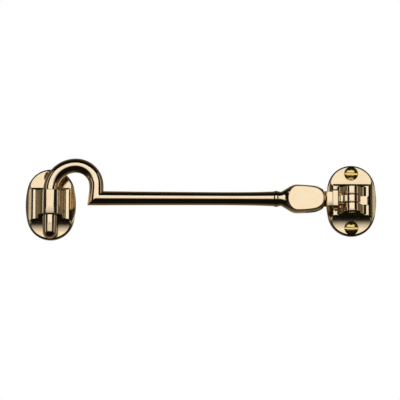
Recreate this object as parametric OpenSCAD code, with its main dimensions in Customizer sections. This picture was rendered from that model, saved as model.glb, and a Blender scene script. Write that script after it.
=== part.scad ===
// Hook and eye latch of polished brass: a pivot plate with a two-way joint, a hooked arm and a keeper plate.
// The plates lie on the mounting surface z = 0. The arm runs along X, and Y points up a wall.
// The origin is the centre of the pivot plate's back face.

/* [Plates] */
// Length of each oval plate, along its screw line
plate_l = 36; // [34:0.5:42]
// Width of each oval plate
plate_w = 25.4; // [24:0.2:30]
// How far the sides bow out past the round ends
side_bow = 0.7; // [0.4:0.1:1]
// Thickness of the flat pads at both ends
pad_h = 3.5; // [3:0.1:4]
// Chamfer round the rim of the pads
rim_chamfer = 0.6; // [0.3:0.1:1]
// Height of the plate's rim at the sides
side_edge_h = 2.1; // [1.5:0.1:2.6]
// Radius of the rounded flanks between the raised middle and the sides
flank_r = 5.8; // [5:0.1:8]
// Height of the raised middle
shoulder_h = 4.8; // [4.2:0.1:5]
// Width across the flat top of the raised middle
shoulder_w = 17.8; // [16.5:0.1:19]
// Length of the flat top of the raised middle
shoulder_l = 17.4; // [16.4:0.1:17.6]
// Radius of the hollow between the raised middle and each pad
pad_fillet_r = 2; // [1:0.1:2.5]
// Height of the arm's axis above the mounting surface
axis_h = 9.5; // [9.4:0.1:12]

/* [Screws] */
// Distance from the plate's end to the screw's axis
screw_edge = 4.1; // [4:0.1:4.5]
// Diameter of the screw's plain shank
screw_d = 3.5; // [3:0.1:3.8]
// Diameter of the screw's head
screw_head_d = 6.8; // [6.4:0.1:7]
// Length of the screw below the rim of its head
screw_l = 19; // [13:1:26]
// Length of plain shank behind the plate
screw_plain_l = 5; // [3:0.5:6]
// Diameter of the thread's core
screw_core_d = 2.6; // [2:0.1:2.8]
// Height of the head's dome
screw_dome_h = 1; // [0.6:0.1:1.4]
// Width of the driver slot
slot_w = 1; // [0.7:0.1:1.3]
// Depth of the driver slot below the top of the dome
slot_depth = 1.2; // [0.8:0.1:1.5]
// Gap between a screw and its hole
screw_gap = 0.15; // [0.1:0.05:0.3]

/* [Pivot] */
// Outer diameter of the knuckle
knuckle_d = 8.6; // [8:0.1:9]
// Length of the knuckle, both lugs included
knuckle_l = 12.8; // [11:0.1:14]
// Length of the swivel's share of the knuckle
swivel_l = 3.7; // [3:0.1:5]
// Gap between the swivel and each lug
side_gap = 0.3; // [0.2:0.05:0.5]
// Radius of the hollow flanks at the foot of the lugs
lug_flank_r = 2.6; // [1.5:0.1:2.8]
// Diameter of the pivot pin
pivot_pin_d = 3.6; // [3:0.1:4]
// Diameter of the lift pin
lift_pin_d = 3; // [2.4:0.1:3.6]
// Radial clearance of a pin that turns
running_gap = 0.05; // [0.02:0.01:0.1]
// Radial clearance of a pin that is driven in
driven_gap = 0.01; // [0.01:0.01:0.02]

/* [Swivel] */
// Distance from the pivot axis to the near face of the collar
collar_at = 7; // [6.8:0.1:7.4]
// Thickness of the collar
collar_t = 2.9; // [2:0.1:3.1]
// Height of the collar, up the wall
collar_l = 9.4; // [8:0.1:11]
// Depth of the collar, out of the wall
collar_d = 7.2; // [6:0.1:8]
// Radius of the collar's corners
collar_r = 1.2; // [0.5:0.1:2]
// Distance from the pivot axis to the lift pin
lift_at = 18.5; // [18:0.1:22]
// Thickness of the tongue
tongue_t = 3.6; // [2.8:0.1:4]
// Radius of the tongue's round end
tongue_r = 4.4; // [3.6:0.1:4.8]
// Width of the tongue where it meets the collar
tongue_root_w = 6.9; // [5:0.1:8]

/* [Arm] */
// Distance from the pivot axis to the axis of the hook's tip
reach = 152; // [120:1:260]
// Diameter of the hook's round bar
wire_d = 7; // [6:0.1:7.4]
// Diameter of the rod at its waist
rod_waist_d = 6.5; // [5.5:0.1:7]
// Diameter of the rod beside the bead
rod_end_d = 7.2; // [6.5:0.1:8]
// Height of the turned bead over the rod
bead_h = 0.6; // [0.3:0.1:1]
// Width of the turned bead
bead_w = 1.6; // [1:0.1:2.5]
// Distance from the pivot axis to the bead
bead_at = 38; // [37:0.5:44]
// Diameter of the neck between the bead and the paddle
neck_d = 6.8; // [6:0.1:7.4]
// Largest diameter of the paddle
paddle_d = 14.4; // [13:0.1:16]
// Thickness of the paddle across its flats
paddle_t = 9.5; // [8.5:0.1:10]
// Distance from the pivot axis to the widest place of the paddle
paddle_wide_at = 28.4; // [27:0.1:30]
// Distance from the pivot axis to the paddle's round end
paddle_end_at = 13.3; // [12.8:0.1:14]
// Bluntness of the paddle's round end
paddle_blunt = 3.2; // [2.5:0.1:4]
// Gap between the tongue and each cheek of the paddle
cheek_gap = 0.15; // [0.1:0.05:0.3]
// Gap between the tongue's round end and the bottom of the fork
fork_gap = 0.5; // [0.3:0.1:1]
// Metal left between the lift pin and the paddle's front face
pin_cover = 1.2; // [0.8:0.1:1.6]

/* [Hook] */
// Distance from the tip's axis to the leg's axis
hook_gap = 23; // [21:0.5:28]
// Bend radius on the side of the tip
tip_bend_r = 12.9; // [11:0.1:14]
// Height of the hook's crown over the rod, from axis to axis
crown_h = 16.7; // [15:0.1:20]
// Length of the tip below the rod's axis
tip_drop = 20.3; // [18:0.1:24]
// Largest diameter of the tip
tip_d = 7.9; // [7.4:0.1:8.2]
// Diameter of the tip before its round end
tip_end_d = 6.5; // [5:0.1:7]
// Diameter of the small flat at the end of the tip
tip_nose_d = 2; // [1:0.1:3]
// Length of the taper at the tip
tip_taper_l = 10; // [6:0.5:12]

/* [Keeper] */
// Distance of the keeper's centre below the pivot plate's centre
keeper_drop = 2.4; // [1:0.1:4]
// Diameter of the hole in the eye
eye_d = 9; // [8.8:0.1:9.2]
// Thickness of the eye's wall
eye_wall = 1.8; // [1.4:0.1:2.2]
// Length of the eye at its front
eye_l = 12.4; // [10:0.1:13]
// How much longer the eye is at its foot
eye_draft = 2; // [0.5:0.1:2.4]
// Radius of the hollow flanks at the foot of the eye
eye_flank_r = 1.5; // [0.8:0.1:1.6]

/* [Hidden] */
$fn = 96;

brass = "#d9b583";
screw_brass = "#d6a83c";

// Length by which a cut runs past the face that it opens
over = 1;
// Depth by which a boss is rooted in what carries it
root = 0.5;
// How much wider a plate's end is than one that would only touch the bowed sides
end_ease = 0.1;

// Four-arc outline of a plate
plate_end_r = plate_w / 2 - side_bow;
end_centre_y = plate_l / 2 - plate_end_r;
side_r = (pow(plate_w / 2, 2) + pow(end_centre_y, 2) - pow(plate_end_r, 2)) / (2 * side_bow);
side_centre_x = side_r - plate_w / 2;
joint_y = end_centre_y * side_r / (side_r - plate_end_r);
plate_arc_r = plate_end_r + end_ease;
rim_taper_h = shoulder_h - pad_h + rim_chamfer + over;

// Raised middle of a plate
flank_centre = arc_centre([shoulder_w / 2, shoulder_h], [plate_w / 2, side_edge_h], flank_r);
step_h = shoulder_h - pad_h;
fillet_y = shoulder_l / 2 + sqrt(step_h * (2 * pad_fillet_r - step_h));

// Screws and their countersunk holes
screw_y = plate_l / 2 - screw_edge;
hole_r = screw_d / 2 + screw_gap;
sink_r = screw_head_d / 2 + screw_gap;
neck_r = screw_d / 2 + screw_gap / 3;
head_cone_h = screw_head_d / 2 - neck_r;
dome_r = (pow(screw_head_d / 2, 2) + pow(screw_dome_h, 2)) / (2 * screw_dome_h);
screw_tip_z = pad_h - screw_l;
core_taper_l = 4;

// Pivot joint
knuckle_r = knuckle_d / 2;
lug_draft = 0.5;
slot_half = swivel_l / 2 + side_gap;
lift_x = -lift_at;
collar_far = collar_at + collar_t;

// Arm
wire_r = wire_d / 2;
leg_bend_r = hook_gap - tip_bend_r;
tip_x = -reach;
leg_x = tip_x + hook_gap;
crown_x = tip_x + tip_bend_r;
bead_x = -bead_at;
rod_steps = 16;
flare_steps = 12;
end_steps = 24;
flare_start_x = bead_x + bead_w;
fork_t = tongue_t + 2 * cheek_gap;
fork_bottom_x = lift_x - tongue_r - fork_gap;
mitre_size = 4 * wire_d;

// Keeper
eye_r = eye_d / 2 + eye_wall;

// Centre of the arc of radius r that bulges up between two points, the first of them on its left
function arc_centre(a, b, r) = let (chord = b - a)
    (a + b) / 2 + [chord.y, -chord.x] / norm(chord) * sqrt(r * r - chord * chord / 4);

// Sweeps a profile in X and Z along Y
module along_y(length) {
    rotate([90, 0, 0]) linear_extrude(length, center = true) children();
}

// Sweeps a profile in Y and Z along X
module along_x(length) {
    rotate([90, 0, 90]) linear_extrude(length, center = true) children();
}

// Turns a profile of radius and place about the arm's axis
module turned() {
    translate([0, 0, axis_h]) rotate([0, 90, 0]) rotate_extrude() children();
}

// A round bar or hole along Y, centred on the arm's axis
module bar_y(r, length) {
    translate([0, 0, axis_h]) rotate([90, 0, 0]) cylinder(r = r, h = length, center = true);
}

// A screw's hole with its countersink
module screw_hole() {
    translate([0, 0, -over]) cylinder(r = hole_r, h = pad_h + 2 * over);
    translate([0, 0, pad_h - (sink_r - hole_r)])
        cylinder(r1 = hole_r, r2 = sink_r + over, h = sink_r - hole_r + over);
}

// A disc with the rim's chamfer, which runs on past the top of the raised middle
module rim_disc(r, bottom) {
    chamfer_z = pad_h - rim_chamfer;
    rotate_extrude() polygon([
        [0, bottom], [r, bottom], [r, chamfer_z], [r - rim_taper_h, chamfer_z + rim_taper_h],
        [0, chamfer_z + rim_taper_h]
    ]);
}

// What bounds a plate at its round ends
module plate_ends() {
    for (end = [-1, 1]) translate([0, end * (plate_l / 2 - plate_arc_r), 0]) rim_disc(plate_arc_r, -over);
    translate([-plate_w / 2 - over, -joint_y, -over])
        cube([plate_w + 2 * over, 2 * joint_y, shoulder_h + 2 * over]);
}

// A plate's cross-section in X and Z: flat shoulders and rounded flanks
module flank_profile() {
    intersection() {
        translate([-plate_w / 2 - over, 0]) square([plate_w + 2 * over, shoulder_h + over]);
        union() {
            translate([-shoulder_w / 2, 0]) square([shoulder_w, shoulder_h + over]);
            translate(flank_centre) circle(flank_r);
            translate([-flank_centre.x, flank_centre.y]) circle(flank_r);
        }
    }
}

// A plate's lengthwise section in Y and Z: the raised middle, a hollow at each end of it, and the pads
module pad_profile() {
    translate([-plate_l / 2 - over, 0]) square([plate_l + 2 * over, pad_h]);
    difference() {
        translate([-fillet_y, 0]) square([2 * fillet_y, shoulder_h]);
        for (end = [-1, 1]) translate([end * fillet_y, pad_h + pad_fillet_r]) circle(pad_fillet_r);
    }
}

// The oval base that both plates share
module plate_base() {
    intersection() {
        translate([side_centre_x, 0, 0]) rim_disc(side_r, 0);
        translate([-side_centre_x, 0, 0]) rim_disc(side_r, 0);
        plate_ends();
        along_y(plate_l + 2 * over) flank_profile();
        along_x(plate_w + 2 * over) pad_profile();
    }
}

// Both screw holes of a plate
module screw_holes() {
    for (end = [-1, 1]) translate([0, end * screw_y, 0]) screw_hole();
}

// A round-topped boss along Y, with hollow flanks at its foot and leaning ends
module boss(r, front_l, foot_l, flank_r) {
    intersection() {
        along_y(foot_l) {
            translate([0, axis_h]) circle(r);
            translate([-r, shoulder_h - root]) square([2 * r, axis_h - shoulder_h + root]);
            difference() {
                translate([-r - flank_r, shoulder_h - root]) square([2 * (r + flank_r), flank_r + root]);
                for (side = [-1, 1]) translate([side * (r + flank_r), shoulder_h + flank_r]) circle(flank_r);
            }
        }
        along_x(plate_w) polygon([
            [-foot_l / 2, 0], [-foot_l / 2, shoulder_h], [-front_l / 2, axis_h + r],
            [front_l / 2, axis_h + r], [foot_l / 2, shoulder_h], [foot_l / 2, 0]
        ]);
    }
}

module pivot_plate() {
    color(brass) difference() {
        union() {
            plate_base();
            // two lugs, with a slot for the swivel between them
            difference() {
                boss(knuckle_r, knuckle_l, knuckle_l + lug_draft, lug_flank_r);
                translate([-plate_w / 2, -slot_half, 0]) cube([plate_w, 2 * slot_half, axis_h + knuckle_d]);
            }
        }
        bar_y(pivot_pin_d / 2 + driven_gap, plate_l);
        screw_holes();
    }
}

module pivot_pin() {
    color(brass) bar_y(pivot_pin_d / 2, knuckle_l);
}

// The two-way link: an eye on the pivot pin, a collar, and a flat tongue on the lift pin
module swivel_knuckle() {
    color(brass) difference() {
        union() {
            bar_y(knuckle_r, swivel_l);
            translate([-collar_at - root, -swivel_l / 2, axis_h - collar_d / 2])
                cube([collar_at + root, swivel_l, collar_d]);
            translate([-collar_at - collar_t / 2, 0, axis_h]) along_x(collar_t) collar_outline();
            translate([0, 0, axis_h - tongue_t / 2]) tongue();
        }
        bar_y(pivot_pin_d / 2 + running_gap, plate_l);
        translate([lift_x, 0, 0]) cylinder(r = lift_pin_d / 2 + running_gap, h = 2 * axis_h);
    }
}

// A rectangle with round corners, in Y and Z
module collar_outline() {
    square([collar_l, collar_d - 2 * collar_r], center = true);
    square([collar_l - 2 * collar_r, collar_d], center = true);
    for (y = [-1, 1], z = [-1, 1])
        translate([y * (collar_l / 2 - collar_r), z * (collar_d / 2 - collar_r)]) circle(collar_r);
}

// The flat tongue that lies in the paddle's fork
module tongue() {
    translate([lift_x, 0, 0]) cylinder(r = tongue_r, h = tongue_t);
    linear_extrude(tongue_t) polygon([
        [lift_x, -tongue_r], [-collar_far + root, -tongue_root_w / 2],
        [-collar_far + root, tongue_root_w / 2], [lift_x, tongue_r]
    ]);
}

module lift_pin() {
    color(brass) translate([lift_x, 0, axis_h - paddle_t / 2])
        cylinder(r = lift_pin_d / 2, h = paddle_t - pin_cover);
}

// Radius of the waisted rod, from 0 at the hook to 1 at the bead
function rod_radius(t) = rod_waist_d / 2 +
    ((t < 0.5 ? wire_d : rod_end_d) - rod_waist_d) / 2 * pow(2 * t - 1, 2);

// Radius of the flare between the neck and the paddle, from 0 to 1
function flare_radius(t) = neck_d / 2 + (paddle_d - neck_d) / 2 * (0.6 * t + 0.2 * (1 - cos(180 * t)));

// Radius of the paddle from its widest place, 0, to its round end, 1
function paddle_radius(t) = paddle_d / 2 * pow(1 - pow(t, paddle_blunt), 1 / paddle_blunt);

// The waisted rod, mitred at the hook
module rod() {
    start_x = leg_x + wire_d;
    length = bead_x - start_x;
    difference() {
        turned() polygon(concat(
            [[0, leg_x - wire_d], [wire_r, leg_x - wire_d]],
            [for (i = [0:rod_steps]) [rod_radius(i / rod_steps), start_x + length * i / rod_steps]],
            [[0, bead_x]]
        ));
        mitre_half(1);
    }
}

// The half of space on one side of the mitre between the rod and the leg
module mitre_half(side) {
    translate([leg_x, 0, axis_h]) rotate([0, 0, 45])
        translate([-mitre_size, side > 0 ? 0 : -mitre_size, -mitre_size / 2])
            cube([2 * mitre_size, mitre_size, mitre_size]);
}

// The turned bead and the neck behind it
module bead_and_neck() {
    turned() {
        translate([0, bead_x]) square([neck_d / 2, bead_w]);
        intersection() {
            translate([rod_end_d / 2 + bead_h - bead_w / 2, bead_x + bead_w / 2]) circle(bead_w / 2);
            translate([0, bead_x]) square([paddle_d / 2, bead_w]);
        }
        translate([0, bead_x]) square([rod_end_d / 2 + bead_h - bead_w / 2, bead_w]);
        // core that ties the bead to the rod and to the paddle
        translate([0, bead_x - root]) square([neck_d / 2 - root, bead_w + 2 * root]);
    }
}

// The paddle: turned, flattened front and back, and forked for the tongue
module paddle() {
    flare_l = -paddle_wide_at - flare_start_x;
    end_l = paddle_wide_at - paddle_end_at;
    difference() {
        intersection() {
            turned() polygon(concat(
                [[0, flare_start_x]],
                [for (i = [0:flare_steps]) [flare_radius(i / flare_steps), flare_start_x + flare_l * i / flare_steps]],
                [for (i = [1:end_steps]) let (t = sin(90 * i / end_steps))
                    [paddle_radius(t), -paddle_wide_at + end_l * t]]
            ));
            translate([flare_start_x, -paddle_d, axis_h - paddle_t / 2]) cube([bead_at, 2 * paddle_d, paddle_t]);
        }
        translate([fork_bottom_x, -paddle_d, axis_h - fork_t / 2]) cube([bead_at, 2 * paddle_d, fork_t]);
        translate([lift_x, 0, axis_h - paddle_t / 2 - over])
            cylinder(r = lift_pin_d / 2 + driven_gap, h = paddle_t - pin_cover + over);
    }
}

// A quarter bend of the hook's bar, from its crown to one side
module quarter_bend(bend_r, side) {
    translate([crown_x, crown_h - bend_r, axis_h]) rotate([0, 0, side > 0 ? 0 : 90])
        rotate_extrude(angle = 90) translate([bend_r, 0]) circle(wire_r);
}

// The straight leg between the rod and the bend, mitred at the rod
module leg() {
    difference() {
        translate([leg_x, -wire_d, axis_h]) rotate([-90, 0, 0])
            cylinder(r = wire_r, h = crown_h - leg_bend_r + wire_d);
        mitre_half(-1);
    }
}

// The tip that drops into the eye: it swells, tapers and ends round, with a small flat nose
module tip() {
    top_y = crown_h - tip_bend_r;
    end_r = tip_end_d / 2;
    end_y = sqrt(pow(end_r, 2) - pow(tip_nose_d / 2, 2)) - tip_drop;
    translate([tip_x, 0, axis_h]) rotate([-90, 0, 0]) rotate_extrude() {
        polygon([
            [0, end_y], [end_r, end_y], [tip_d / 2, end_y + tip_taper_l], [tip_d / 2, 0],
            [wire_r, top_y], [0, top_y]
        ]);
        intersection() {
            translate([0, end_y]) circle(end_r);
            translate([0, -tip_drop]) square([end_r, tip_drop + end_y]);
        }
    }
}

// A core inside the bar that ties two stretches of it together
module bar_core(x, y) {
    translate([x, y, axis_h]) sphere(wire_r / 2);
}

module hook_arm() {
    color(brass) {
        rod();
        bead_and_neck();
        paddle();
        leg();
        quarter_bend(leg_bend_r, 1);
        quarter_bend(tip_bend_r, -1);
        tip();
        bar_core(leg_x, 0);
        bar_core(leg_x, crown_h - leg_bend_r);
        bar_core(crown_x, crown_h);
        bar_core(tip_x, crown_h - tip_bend_r);
    }
}

module keeper_plate() {
    color(brass) translate([tip_x, -keeper_drop, 0]) difference() {
        union() {
            plate_base();
            boss(eye_r, eye_l, eye_l + eye_draft, eye_flank_r);
        }
        bar_y(eye_d / 2, plate_l);
        screw_holes();
    }
}

// A raised countersunk wood screw, seated in its hole
module screw() {
    color(screw_brass) difference() {
        union() {
            translate([0, 0, pad_h - head_cone_h])
                cylinder(r1 = neck_r, r2 = screw_head_d / 2, h = head_cone_h);
            // the shank thickens a little inside the plate
            cylinder(r1 = screw_d / 2, r2 = neck_r, h = pad_h - head_cone_h);
            intersection() {
                translate([0, 0, pad_h + screw_dome_h - dome_r]) sphere(dome_r);
                translate([0, 0, pad_h]) cylinder(r = screw_head_d / 2, h = screw_dome_h);
            }
            translate([0, 0, -screw_plain_l]) cylinder(r = screw_d / 2, h = screw_plain_l);
            translate([0, 0, screw_tip_z + core_taper_l])
                cylinder(r = screw_core_d / 2, h = -screw_plain_l - screw_tip_z - core_taper_l);
            translate([0, 0, screw_tip_z]) cylinder(r1 = 0, r2 = screw_core_d / 2, h = core_taper_l);
        }
        translate([-screw_head_d, -slot_w / 2, pad_h + screw_dome_h - slot_depth])
            cube([2 * screw_head_d, slot_w, slot_depth + over]);
    }
}

module upper_screw() {
    translate([0, screw_y, 0]) screw();
}

module lower_screw() {
    translate([0, -screw_y, 0]) screw();
}

pivot_plate();
pivot_pin();
swivel_knuckle();
lift_pin();
hook_arm();
keeper_plate();
upper_screw();
lower_screw();
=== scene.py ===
"""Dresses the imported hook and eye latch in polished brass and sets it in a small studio."""
import logging
import math
from dataclasses import dataclass, field
from enum import Enum
from typing import Callable, Iterable, Sequence

import bmesh
import bpy
from mathutils import Matrix, Vector

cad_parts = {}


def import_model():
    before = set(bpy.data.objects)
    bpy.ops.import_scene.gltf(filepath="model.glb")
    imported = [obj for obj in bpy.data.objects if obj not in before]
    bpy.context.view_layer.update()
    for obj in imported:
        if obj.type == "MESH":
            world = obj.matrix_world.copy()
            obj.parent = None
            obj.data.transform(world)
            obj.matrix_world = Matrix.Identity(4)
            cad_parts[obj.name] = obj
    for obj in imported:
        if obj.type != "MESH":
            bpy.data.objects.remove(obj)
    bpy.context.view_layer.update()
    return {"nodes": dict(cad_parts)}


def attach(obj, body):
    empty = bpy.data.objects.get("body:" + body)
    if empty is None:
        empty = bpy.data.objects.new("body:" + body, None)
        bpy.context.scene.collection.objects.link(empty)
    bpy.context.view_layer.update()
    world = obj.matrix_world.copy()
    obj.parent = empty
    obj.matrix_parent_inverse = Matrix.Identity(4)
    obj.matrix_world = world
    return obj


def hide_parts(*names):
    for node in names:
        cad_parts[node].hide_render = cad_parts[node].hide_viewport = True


LOG = logging.getLogger("latch")

# Sizes are in millimetres, as in the part's source, until piece_from turns them into metres.
MM = 0.001
# The height of the pivot's and the arm's axes over the wall.
AXIS_Z = 9.5
# Takes the Z axis to the pivot's axis, which runs along Y.
PIVOT_AXIS = Matrix.Translation((0, 0, AXIS_Z)) @ Matrix.Rotation(-math.pi / 2, 4, "X")
# The axis of the hook's tip, and the keeper's centre on it.
TIP_X = -152.0
KEEPER_Y = -2.4
# Vertices closer than this, in millimetres before a cut and in metres after it, become one.
MERGE_MM = 1e-5
MERGE_M = 1e-6
# A face with more corners than this is flat, and its edges stay sharp past the angle in degrees.
FLAT_CORNERS = 12
FLAT_ANGLE = 2.0
# The number of steps of a full turn, where it shows and where it hides.
FINE_TURN = 96
COARSE_TURN = 48
# The depth of the polishing marks, in metres.
MARK_DEPTH = 0.00002


class Body(Enum):
    """The bodies that pieces ride on."""

    BASE = "pivot_base"
    SWIVEL = "swivel"
    ARM = "arm"
    KEEPER = "keeper"


class Slot(Enum):
    """The record's material slots."""

    BRASS = "polished_brass"
    SCREW = "screw_brass"


class Finish(Enum):
    """The finishes, named for what has them."""

    TURNED = "turned_brass"
    CAST = "cast_brass"
    SCREW = "screw_brass"

    @property
    def slot(self) -> Slot:
        """The record's slot that the finish belongs to."""
        return Slot.SCREW if self is Finish.SCREW else Slot.BRASS


class Smoothing(Enum):
    """The angle, in degrees, past which an edge is left sharp."""

    TURNED = 24.0
    CAST = 28.0


@dataclass(frozen=True)
class Curve:
    """A smooth line through stations that never overshoots them.

    Attributes:
        stations: Pairs of place and value, in rising order of place.
    """

    stations: tuple[tuple[float, float], ...]

    def at(self, place: float) -> float:
        """Reads the line.

        Args:
            place: Where to read it.

        Returns:
            The value there.
        """
        points = self.stations
        if place <= points[0][0]:
            return points[0][1]
        if place >= points[-1][0]:
            return points[-1][1]
        index = max(i for i in range(len(points) - 1) if points[i][0] <= place)
        (x0, y0), (x1, y1) = points[index], points[index + 1]
        width = x1 - x0
        t = (place - x0) / width
        m0, m1 = self._slope(index), self._slope(index + 1)
        return (
            (2 * t**3 - 3 * t**2 + 1) * y0
            + (t**3 - 2 * t**2 + t) * width * m0
            + (3 * t**2 - 2 * t**3) * y1
            + (t**3 - t**2) * width * m1
        )

    def _slope(self, index: int) -> float:
        """Finds the slope at a station.

        Args:
            index: The station's number.

        Returns:
            The harmonic mean of the slopes on both sides, or zero at a turn.
        """
        points = self.stations
        before = self._chord(index - 1) if index > 0 else None
        after = self._chord(index) if index < len(points) - 1 else None
        if before is None or after is None:
            return before if after is None else after
        if before * after <= 0:
            return 0.0
        return 2 * before * after / (before + after)

    def _chord(self, index: int) -> float:
        """Gives the slope of the straight line after a station."""
        (x0, y0), (x1, y1) = self.stations[index], self.stations[index + 1]
        return (y1 - y0) / (x1 - x0)


def smooth_min(a: float, b: float, width: float) -> float:
    """Takes the lower of two heights, with a rounded meeting line.

    Args:
        a: One height.
        b: The other height.
        width: How far from the meeting line the rounding starts.

    Returns:
        The rounded lower height.
    """
    gap = max(width - abs(a - b), 0.0) / width
    return min(a, b) - gap * gap * width / 4


def spread(first: float, last: float, count: int) -> list[float]:
    """Gives evenly spaced places, both ends included."""
    return [first + (last - first) * i / (count - 1) for i in range(count)]


def move_to(bm: bmesh.types.BMesh, offset: Sequence[float]) -> None:
    """Shifts a whole mesh by an offset in millimetres."""
    bmesh.ops.translate(bm, vec=Vector(offset), verts=bm.verts)


def whole(bm: bmesh.types.BMesh) -> list[bmesh.types.BMVert | bmesh.types.BMEdge | bmesh.types.BMFace]:
    """Lists all that a mesh is made of."""
    return [*bm.verts, *bm.edges, *bm.faces]


def object_from(name: str, bm: bmesh.types.BMesh) -> bpy.types.Object:
    """Turns a mesh into an object as it is.

    Args:
        name: The object's name.
        bm: The mesh, which is freed.

    Returns:
        The object, linked to the scene.
    """
    mesh = bpy.data.meshes.new(name)
    bm.to_mesh(mesh)
    bm.free()
    made = bpy.data.objects.new(name, mesh)
    bpy.context.scene.collection.objects.link(made)
    return made


def piece_from(name: str, bm: bmesh.types.BMesh) -> bpy.types.Object:
    """Turns a closed mesh in millimetres into an object in metres.

    Args:
        name: The object's name.
        bm: The mesh, which is freed.

    Returns:
        The object, linked to the scene.
    """
    bmesh.ops.remove_doubles(bm, verts=bm.verts, dist=MERGE_MM)
    bmesh.ops.recalc_face_normals(bm, faces=bm.faces)
    bmesh.ops.scale(bm, vec=Vector((MM, MM, MM)), verts=bm.verts)
    return object_from(name, bm)


def cut_away(piece: bpy.types.Object, cutters: Iterable[bpy.types.Object]) -> None:
    """Cuts other objects out of a piece and removes them.

    Args:
        piece: The object that is cut.
        cutters: The objects that are taken out of it.
    """
    for cutter in cutters:
        boolean = piece.modifiers.new("cut", "BOOLEAN")
        boolean.operation = "DIFFERENCE"
        boolean.solver = "EXACT"
        boolean.object = cutter
        bpy.context.view_layer.update()
        graph = bpy.context.evaluated_depsgraph_get()
        bm = bmesh.new()
        bm.from_mesh(piece.evaluated_get(graph).to_mesh())
        piece.modifiers.clear()
        bmesh.ops.remove_doubles(bm, verts=bm.verts, dist=MERGE_M)
        bmesh.ops.dissolve_degenerate(bm, edges=bm.edges, dist=MERGE_M)
        bm.to_mesh(piece.data)
        bm.free()
        bpy.data.objects.remove(cutter)


def join(name: str, parts: Sequence[bpy.types.Object]) -> bpy.types.Object:
    """Makes one piece of several closed shells.

    Args:
        name: The new piece's name.
        parts: The shells, which are removed.

    Returns:
        The piece.
    """
    bm = bmesh.new()
    for part in parts:
        bm.from_mesh(part.data)
        bpy.data.objects.remove(part)
    return object_from(name, bm)


def shade(piece: bpy.types.Object, smoothing: Smoothing) -> None:
    """Shades a piece smooth, except at its sharp edges.

    Args:
        piece: The object to shade.
        smoothing: The angle past which an edge stays sharp.
    """
    bm = bmesh.new()
    bm.from_mesh(piece.data)
    limit = math.radians(smoothing.value)
    for face in bm.faces:
        face.smooth = True
    for edge in bm.edges:
        flat = any(len(face.verts) > FLAT_CORNERS for face in edge.link_faces)
        angle = edge.calc_face_angle(0.0) if len(edge.link_faces) == 2 else math.pi
        edge.smooth = angle < (math.radians(FLAT_ANGLE) if flat else limit)
    bm.to_mesh(piece.data)
    bm.free()


def split_flats(piece: bpy.types.Object) -> None:
    """Splits a piece's faces of many corners into triangles and drops the slivers that stand off its shells.

    Args:
        piece: The object, whose shells are closed.
    """
    bm = bmesh.new()
    bm.from_mesh(piece.data)
    bmesh.ops.triangulate(bm, faces=[face for face in bm.faces if len(face.verts) > 4])
    while loose := [face for face in bm.faces if any(edge.is_boundary for edge in face.edges)]:
        bmesh.ops.delete(bm, geom=loose, context="FACES")
    bm.to_mesh(piece.data)
    bm.free()


def lathe(bm: bmesh.types.BMesh, profile: Sequence[tuple[float, float]], turn: Matrix, steps: int) -> None:
    """Spins a profile of radius and place about an axis.

    Args:
        bm: The mesh that gets the turned shape.
        profile: Pairs of radius and place along the axis, in millimetres.
        turn: Takes the Z axis to the axis of the turned shape.
        steps: The number of steps of a full turn.
    """
    corners = [bm.verts.new(turn @ Vector((radius, 0, along))) for radius, along in profile]
    edges = [bm.edges.new(pair) for pair in zip(corners, corners[1:])]
    bmesh.ops.spin(
        bm,
        geom=corners + edges,
        cent=turn.translation,
        axis=turn.to_3x3() @ Vector((0, 0, 1)),
        angle=2 * math.pi,
        steps=steps,
        use_merge=True,
    )


def grow_ring(bm: bmesh.types.BMesh, ring: Sequence[bmesh.types.BMVert]) -> list[bmesh.types.BMVert]:
    """Extrudes a closed ring of points.

    Args:
        bm: The mesh.
        ring: The open rim's points, in order.

    Returns:
        The new rim's points, in the same order and still in the same places.
    """
    edges = [bm.edges.get(pair) for pair in zip(ring, [*ring[1:], ring[0]])]
    made = bmesh.ops.extrude_edge_only(bm, edges=edges)["geom"]
    fresh = {item for item in made if isinstance(item, bmesh.types.BMVert)}
    partners = []
    for vert in ring:
        ends = [edge.other_vert(vert) for edge in vert.link_edges]
        partners.append(next(end for end in ends if end in fresh))
    return partners


def close_ring(bm: bmesh.types.BMesh, ring: Sequence[bmesh.types.BMVert]) -> None:
    """Fills a closed ring of points with one face."""
    edges = [bm.edges.get(pair) for pair in zip(ring, [*ring[1:], ring[0]])]
    bmesh.ops.edgeloop_fill(bm, edges=edges)


def bisect_across(bm: bmesh.types.BMesh, x: float) -> None:
    """Adds edges to a whole mesh where a plane across X meets it."""
    bmesh.ops.bisect_plane(bm, geom=whole(bm), plane_co=Vector((x, 0, 0)), plane_no=Vector((1, 0, 0)))


def round_edges(
    bm: bmesh.types.BMesh, edges: Sequence[bmesh.types.BMEdge], radius: float, segments: int
) -> None:
    """Rounds edges of a mesh.

    Args:
        bm: The mesh.
        edges: The edges.
        radius: The radius that they get.
        segments: The number of faces across an edge.
    """
    bmesh.ops.bevel(
        bm, geom=edges, offset=radius, affect="EDGES", segments=segments, profile=0.5, material=-1
    )


def add_box(bm: bmesh.types.BMesh, low: Sequence[float], high: Sequence[float]) -> None:
    """Adds a plain box to a mesh.

    Args:
        bm: The mesh that gets the box.
        low: Its lowest corner.
        high: Its highest corner.
    """
    size = Vector(high) - Vector(low)
    centre = (Vector(high) + Vector(low)) / 2
    bmesh.ops.create_cube(bm, size=1.0, matrix=Matrix.Translation(centre) @ Matrix.Diagonal((*size, 1.0)))


def add_node(tree: bpy.types.NodeTree, kind: str, **values: float | tuple[float, ...]) -> bpy.types.Node:
    """Adds a node to a tree.

    Args:
        tree: The tree.
        kind: The node's type.
        **values: The values of its inputs, by name.

    Returns:
        The node.
    """
    node = tree.nodes.new(kind)
    for name, value in values.items():
        node.inputs[name].default_value = value
    return node


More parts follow.
